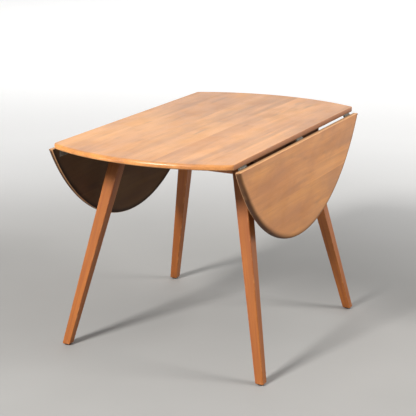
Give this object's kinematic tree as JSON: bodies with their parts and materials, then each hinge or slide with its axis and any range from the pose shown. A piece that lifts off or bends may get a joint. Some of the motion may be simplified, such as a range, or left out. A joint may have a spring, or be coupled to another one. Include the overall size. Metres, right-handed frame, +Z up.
{
  "type": "drop leaf table",
  "caption": "Oval dining table in pale solid wood on splayed tapered legs, with hanging side leaves that hinge up onto swing-out supports.",
  "frame": {"origin": "on the floor, under the centre of the table", "axes": "+Z up, +Y along the hinge lines (the long way of the fixed board), +X across the table towards the right leaf"},
  "size_m": [0.7312, 1.104, 0.71],
  "materials": {
    "elm": "satin lacquered pale elm with soft streaky grain",
    "beech": "satin lacquered beech, orange brown",
    "dull_steel": "dull grey steel",
    "zinc_plate": "zinc plated steel",
    "glide_plastic": "dark brown moulded plastic"
  },
  "bodies": {
    "table": {"centre_top": "elm", "leg_front_left": "beech", "leg_front_right": "beech", "leg_back_left": "beech", "leg_back_right": "beech", "end_rail_front": "beech", "end_rail_back": "beech", "side_rail_left": "beech", "side_rail_right": "beech", "brace_front_left": "beech", "brace_front_right": "beech", "brace_back_left": "beech", "brace_back_right": "beech", "bearer_left": "beech", "bearer_right": "beech", "hanger_bolts": "zinc_plate", "hanger_nuts": "zinc_plate", "hanger_washers": "zinc_plate", "top_brackets": "zinc_plate", "pivot_bolts": "zinc_plate", "pivot_washers": "zinc_plate", "bearer_screws": "dull_steel", "bracket_screws": "dull_steel", "glide_nails": "dull_steel", "hinge_pins": "dull_steel", "hinge_screws_top": "dull_steel", "glide_front_left": "glide_plastic", "glide_front_right": "glide_plastic", "glide_back_left": "glide_plastic", "glide_back_right": "glide_plastic", "hinge_left_front": "dull_steel", "hinge_left_middle": "dull_steel", "hinge_left_back": "dull_steel", "hinge_right_front": "dull_steel", "hinge_right_middle": "dull_steel", "hinge_right_back": "dull_steel"},
    "left_leaf": {"left_leaf": "elm", "flap_left_front": "dull_steel", "flap_left_middle": "dull_steel", "flap_left_back": "dull_steel", "hinge_screws_left": "dull_steel"},
    "right_leaf": {"right_leaf": "elm", "flap_right_front": "dull_steel", "flap_right_middle": "dull_steel", "flap_right_back": "dull_steel", "hinge_screws_right": "dull_steel"},
    "arm_front_left": {"arm_front_left": "dull_steel"},
    "arm_front_right": {"arm_front_right": "dull_steel"},
    "arm_back_left": {"arm_back_left": "dull_steel"},
    "arm_back_right": {"arm_back_right": "dull_steel"}
  },
  "joints": [
    {"name": "left_leaf_hinge", "type": "hinge", "parent": "table", "child": "left_leaf", "pos_m": [-0.3065, 0, 0.689], "axis": [0, 1, 0], "range_deg": [0, 90]},
    {"name": "right_leaf_hinge", "type": "hinge", "parent": "table", "child": "right_leaf", "pos_m": [0.3065, 0, 0.689], "axis": [0, -1, 0], "range_deg": [0, 90]},
    {"name": "support_front_left_swing", "type": "hinge", "parent": "table", "child": "arm_front_left", "pos_m": [-0.254, -0.215, 0.691], "axis": [0, 0, 1], "range_deg": [0, 90]},
    {"name": "support_front_right_swing", "type": "hinge", "parent": "table", "child": "arm_front_right", "pos_m": [0.254, -0.215, 0.691], "axis": [0, 0, -1], "range_deg": [0, 90]},
    {"name": "support_back_left_swing", "type": "hinge", "parent": "table", "child": "arm_back_left", "pos_m": [-0.254, 0.215, 0.691], "axis": [0, 0, -1], "range_deg": [0, 90]},
    {"name": "support_back_right_swing", "type": "hinge", "parent": "table", "child": "arm_back_right", "pos_m": [0.254, 0.215, 0.691], "axis": [0, 0, 1], "range_deg": [0, 90]}
  ]
}
